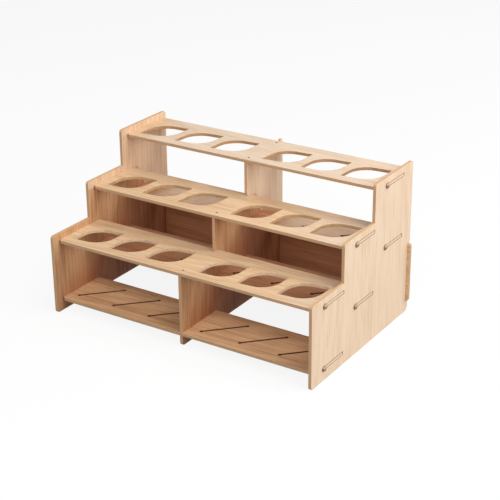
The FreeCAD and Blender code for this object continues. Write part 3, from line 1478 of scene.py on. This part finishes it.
@dataclass
class DomedPin:
    """Small turned pin with a domed head, a straight shank and a pointed tip."""

    head_radius: float
    head_height: float
    shank_radius: float
    shank_length: float
    tip_share: float = 0.3
    crown_share: float = 0.04
    sides: int = 32
    rings: int = 6

    def profile(self) -> list[tuple[float, float]]:
        """Draws the pin's profile.

        Returns:
            Radius and height at each ring, from the tip to the crown.
        """
        dome = (self.head_radius ** 2 + self.head_height ** 2) / (2 * self.head_height)
        widest = math.asin(min(1.0, self.head_radius / dome))
        turns = [widest * (1 - step / self.rings) for step in range(1, self.rings)]
        turns.append(widest * self.crown_share)
        centre = self.head_height - dome
        return [
            (self.shank_radius * self.tip_share, -self.shank_length),
            (self.shank_radius, 2 * self.shank_radius - self.shank_length),
            (self.shank_radius, 0.0),
            (self.head_radius, 0.0),
            *((dome * math.sin(turn), dome * math.cos(turn) + centre) for turn in turns),
        ]

    def build(self, name: str) -> Workpiece:
        """Turns the pin about Z, head up, with the underside of its head at the origin.

        Args:
            name: Name of the pin.

        Returns:
            The pin.
        """
        (radius, height), *rings = self.profile()
        deselect()
        bpy.ops.mesh.primitive_circle_add(
            vertices=self.sides,
            radius=radius * MM,
            location=(0, 0, height * MM),
            fill_type="NGON",
        )
        bpy.ops.object.mode_set(mode="EDIT")
        bpy.ops.mesh.select_mode(type="FACE")
        bpy.ops.mesh.select_all(action="SELECT")
        for wider, higher in rings:
            rise, growth = (higher - height) * MM, wider / radius
            bpy.ops.mesh.extrude_region_move(TRANSFORM_OT_translate={"value": (0, 0, rise)})
            bpy.ops.transform.resize(value=(growth, growth, 1), center_override=(0, 0, 0))
            radius, height = wider, higher
        bpy.ops.mesh.select_all(action="SELECT")
        bpy.ops.mesh.normals_make_consistent(inside=False)
        bpy.ops.object.mode_set(mode="OBJECT")
        return Workpiece.taken(name)


@dataclass
class Pins(Joinery):
    """All pins of the rack: one beside every tab, and four down through the hole boards.

    A head's two sizes are its radius and its height.
    """

    side_head: tuple[float, float] = (2.9, 2.4)
    top_head: tuple[float, float] = (1.2, 0.5)

    def build_side(self, name: str, side: int) -> Workpiece:
        """Makes the six pins of one side panel.

        Args:
            name: Name of the set of pins.
            side: 1 for the right side, -1 for the left.

        Returns:
            The pins in one piece.
        """
        pin = DomedPin(*self.side_head, self.bore_radius, self.side_shank).build(f"{name}_steel")
        pin.turn(side * 90, Axis.Y)
        outer = side * node_box("right_side_panel")[1].x
        return pin.copies((outer, *self.pin_place(board)) for board in self.boards())

    def build_top(self, name: str) -> Workpiece:
        """Makes the four pins that hold the hole boards down on the divider.

        Args:
            name: Name of the set of pins.

        Returns:
            The pins in one piece.
        """
        pin = DomedPin(*self.top_head, self.top_bore_radius, self.top_shank)
        return pin.build(f"{name}_steel").copies(self.top_pin_places())


# Painted shade on inner faces: browner below the top bay, ending lower towards the back, and
# darkest towards the low back corner.
INNER_SHADE = PaintedLightShade(BROWN_SHADE, BOTH_SIDES, full=111.0, gone=114.0, back_corner_shade=RUSSET_SHADE, step=34.0)


@dataclass(frozen=True)
class TierWood:
    """Woods of the two boards of one tier, and the walls of the hole board's holes."""

    hole: BoardWood
    hole_walls: Cut
    floor: BoardWood


@dataclass
class Rack:
    """The whole rack: its boards and its pins, each with its finish."""

    # Painted shade: the side panels' inner faces and both faces of the divider are browner below
    # the top bay, a little browner on the side panels above it, and darkest towards the low back
    # corner.
    left: BoardWood = BoardWood(
        Grain.UPRIGHT, (35.0, 40.0, 0.0), PALE_SHEET, replace(INNER_SHADE, sides=(1,), least=0.35)
    )
    right: BoardWood = BoardWood(
        Grain.UPRIGHT, (410.0, -12.0, 9.0), PALE_SHEET, replace(INNER_SHADE, sides=(-1,), least=0.35)
    )
    divider: BoardWood = BoardWood(Grain.UPRIGHT, (820.0, 18.0, 30.0), PALE_SHEET, INNER_SHADE)
    # Painted shade: the back panel's front face is russet between the side panels.
    back: BoardWood = BoardWood(
        Grain.CROSSWAYS,
        (150.0, 60.0, 44.0),
        GOLDEN_SHEET,
        PaintedLightShade(RUSSET_SHADE, (-1,), full=147.0, gone=147.8),
    )
    tiers: tuple[TierWood, ...] = (
        TierWood(
            BoardWood(
                Grain.FLAT,
                (0.0, 0.0, 0.0),
                GOLDEN_SHEET,
                # Painted light: paler and pinker towards the board's right end.
                PaintedLightShade(ROSY_SHEET, BOTH_SIDES, full=160.0, gone=90.0, reach=Reach.UP),
            ),
            Cut.PALE,
            BoardWood(Grain.FLAT, (260.0, 0.0, 25.0), TAN_SHEET),
        ),
        TierWood(
            BoardWood(
                Grain.FLAT,
                (500.0, 15.0, 12.0),
                GOLDEN_SHEET,
                # Painted light: paler and pinker towards the board's right end.
                PaintedLightShade(ROSY_SHEET, BOTH_SIDES, full=160.0, gone=40.0, reach=Reach.UP),
            ),
            Cut.WARM,
            # Painted shade: the middle floor board's dark tone.
            BoardWood(Grain.FLAT, (690.0, -20.0, 25.0), UMBER_SHADE),
        ),
        TierWood(
            BoardWood(
                Grain.FLAT,
                (1000.0, 30.0, 24.0),
                ROSY_SHEET,
                # Painted shade: golden and darker towards the board's left end.
                PaintedLightShade(GOLDEN_SHEET, BOTH_SIDES, full=142.0, gone=100.0, reach=Reach.DOWN),
            ),
            Cut.BROWN,
            BoardWood(
                Grain.FLAT,
                (1120.0, -40.0, 25.0),
                # Painted light: the upper floor board's pale tone.
                PALE_SHEET,
                # Painted shade: darker at the left end of each bay.
                PaintedLightShade(UMBER_SHADE, BOTH_SIDES, full=22.0, gone=45.0, reach=Reach.BAYS),
            ),
        ),
    )
    walls: dict[Cut, Material] = field(default_factory=dict)

    def build(self) -> None:
        """Makes, dresses and sets every piece."""
        self.walls = {cut: SawnWood(cut).mix() for cut in Cut}
        self._board(SidePanel(node="left_side_panel"), self.left, Cut.BURNT)
        self._board(SidePanel(node="right_side_panel"), self.right, Cut.BURNT)
        self._board(Divider(), self.divider, Cut.EDGE)
        self._board(BackPanel(), self.back, Cut.EDGE)
        for name, wood in zip(Joinery().tiers, self.tiers):
            self._tabbed(HoleBoard(node=f"{name}_hole_board"), wood.hole, wood.hole_walls)
            self._tabbed(FloorBoard(node=f"{name}_floor_board"), wood.floor, Cut.BURNT)
        self._pins()

    def _tabbed(self, maker: HoleBoard | FloorBoard, wood: BoardWood, walls: Cut) -> None:
        """Makes one board with tabs, whose wood shows where its ends and its top are.

        Args:
            maker: Builds the board.
            wood: Its wood.
            walls: Tone of the walls of its holes or slots.
        """
        wood = replace(wood, board_end=maker.end(), top=node_box(maker.node)[1].z)
        self._board(maker, wood, walls)

    def _pins(self) -> None:
        """Makes the three sets of pins."""
        pins, lying = Pins(), PinSteel(Axis.X).mix()
        for side, name in ((-1, "left_side_pins"), (1, "right_side_pins")):
            pins.build_side(name, side).fit(name, "pin_steel", lying)
        # The divider pins' heads: darker colours, with the same painted highlight on the crown and
        # painted shade near the rim.
        upright = PinSteel(Axis.Z, linear(132, 98, 74), linear(70, 46, 32)).mix()
        pins.build_top("divider_pins").fit("divider_pins", "pin_steel", upright)

    def _board(
        self,
        maker: SidePanel | Divider | BackPanel | HoleBoard | FloorBoard,
        wood: BoardWood,
        walls: Cut,
    ) -> None:
        """Makes one board and dresses it in its own cut of wood.

        Args:
            maker: Builds the board.
            wood: Its wood.
            walls: Tone of the walls of its holes and slots.
        """
        finish = wood.mix(f"{maker.node}_grain")
        maker.build().fit(maker.node, "board_wood", finish, self.walls[walls])


@dataclass(frozen=True)
class Lamp:
    """One soft square lamp: its place and size in metres, its power in watts and its colour."""

    name: str
    place: Place
    size: float
    power: float
    colour: Colour = WHITE

    def hang(self, target: Place) -> None:
        """Hangs the lamp so that it looks at a point.

        Args:
            target: The point, in metres.
        """
        light = bpy.data.lights.new(self.name, "AREA")
        light.shape = "SQUARE"
        light.size = self.size
        light.energy = self.power
        light.color = self.colour
        lamp = bpy.data.objects.new(self.name, light)
        bpy.context.scene.collection.objects.link(lamp)
        lamp.location = self.place
        view = Vector(target) - Vector(self.place)
        lamp.rotation_euler = view.to_track_quat("-Z", "Y").to_euler()


@dataclass
class Studio:
    """Pale floor, soft lamps and the camera. Lengths are in metres and angles in degrees.

    The lens and the centre of view are shares of the frame's width.
    """

    floor_size: float = 6.0
    floor_tone: float = 0.3
    seen_floor_tone: float = 0.95
    floor_white: float = 0.88
    room_light: float = 0.24
    lamps: tuple[Lamp, ...] = (
        Lamp("key_lamp", (1.05, -0.1, 0.6), 0.9, 6.3),
        Lamp("top_lamp", (0.65, 0.15, 1.45), 1.0, 13.0, (1.0, 0.98, 0.95)),
        Lamp("back_lamp", (0.95, 1.45, 0.5), 0.9, 8.0),
        Lamp("front_lamp", (0.1, -1.5, 1.1), 1.0, 11.5),
    )
    target: Place = (0.002965, 0.043361, 0.080)
    azimuth: float = 32.514
    elevation: float = 22.871
    roll: float = -0.318
    distance: float = 1.310692
    sensor_mm: float = 36.0
    focal_share: float = 1309.366 / 500
    centre_x: float = 256.755 / 500
    centre_y: float = 223.257 / 500

    def build(self) -> None:
        """Sets up floor, light and camera."""
        self._floor()
        self._world()
        for lamp in self.lamps:
            lamp.hang(self.target)
        self._camera()
        bpy.context.scene.view_settings.view_transform = "Standard"

    def _floor(self) -> None:
        """Lays the plain pale floor."""
        deselect()
        bpy.ops.mesh.primitive_plane_add(size=self.floor_size)
        floor = bpy.context.object
        floor.name = "studio_floor"
        recipe = Recipe(bpy.data.materials.new("floor_white"))
        seen = recipe.seen()
        tone = recipe.blend(seen, (self.floor_tone,) * 3, (self.seen_floor_tone,) * 3)
        matt = recipe.node("ShaderNodeBsdfDiffuse", sockets={"Color": tone})
        white = recipe.node("ShaderNodeEmission", sockets={"Color": WHITE, "Strength": 1.0})
        shown = recipe.node(
            "ShaderNodeMixShader",
            sockets={0: seen * self.floor_white, 1: matt.outputs[0], 2: white.outputs[0]},
        )
        floor.data.materials.append(recipe.close(shown.outputs[0]))

    def _world(self) -> None:
        """Lights the room evenly and shows it white."""
        world = bpy.data.worlds.new("studio_world")
        bpy.context.scene.world = world
        recipe = Recipe(world)
        lit, white = (
            recipe.node("ShaderNodeBackground", sockets={"Color": WHITE, "Strength": strength})
            for strength in (self.room_light, 1.0)
        )
        shown = recipe.node(
            "ShaderNodeMixShader",
            sockets={0: recipe.seen(), 1: lit.outputs[0], 2: white.outputs[0]},
        )
        recipe.close(shown.outputs[0], "ShaderNodeOutputWorld")

    def _camera(self) -> None:
        """Sets the camera to the photograph's place, lens and frame."""
        across, down, turn = map(math.radians, (self.azimuth, self.elevation, self.roll))
        ahead = Vector((
            -math.sin(across) * math.cos(down), math.cos(across) * math.cos(down), -math.sin(down)
        ))
        level = Vector((math.cos(across), math.sin(across), 0.0))
        above = level.cross(ahead)
        right = level * math.cos(turn) + above * math.sin(turn)
        above = above * math.cos(turn) - level * math.sin(turn)
        data = bpy.data.cameras.new("camera")
        data.sensor_width = self.sensor_mm
        data.lens = self.focal_share * data.sensor_width
        data.shift_x = 0.5 - self.centre_x
        data.shift_y = self.centre_y - 0.5
        camera = bpy.data.objects.new("camera", data)
        bpy.context.scene.collection.objects.link(camera)
        place = Matrix.Translation(Vector(self.target) - ahead * self.distance)
        camera.matrix_world = place @ Matrix((right, above, -ahead)).transposed().to_4x4()
        bpy.context.scene.camera = camera


def main() -> None:
    """Builds and dresses the rack, then sets up the studio."""
    logging.basicConfig(level=logging.INFO, format="%(message)s")
    Rack().build()
    Studio().build()


if __name__ == "__main__":
    main()
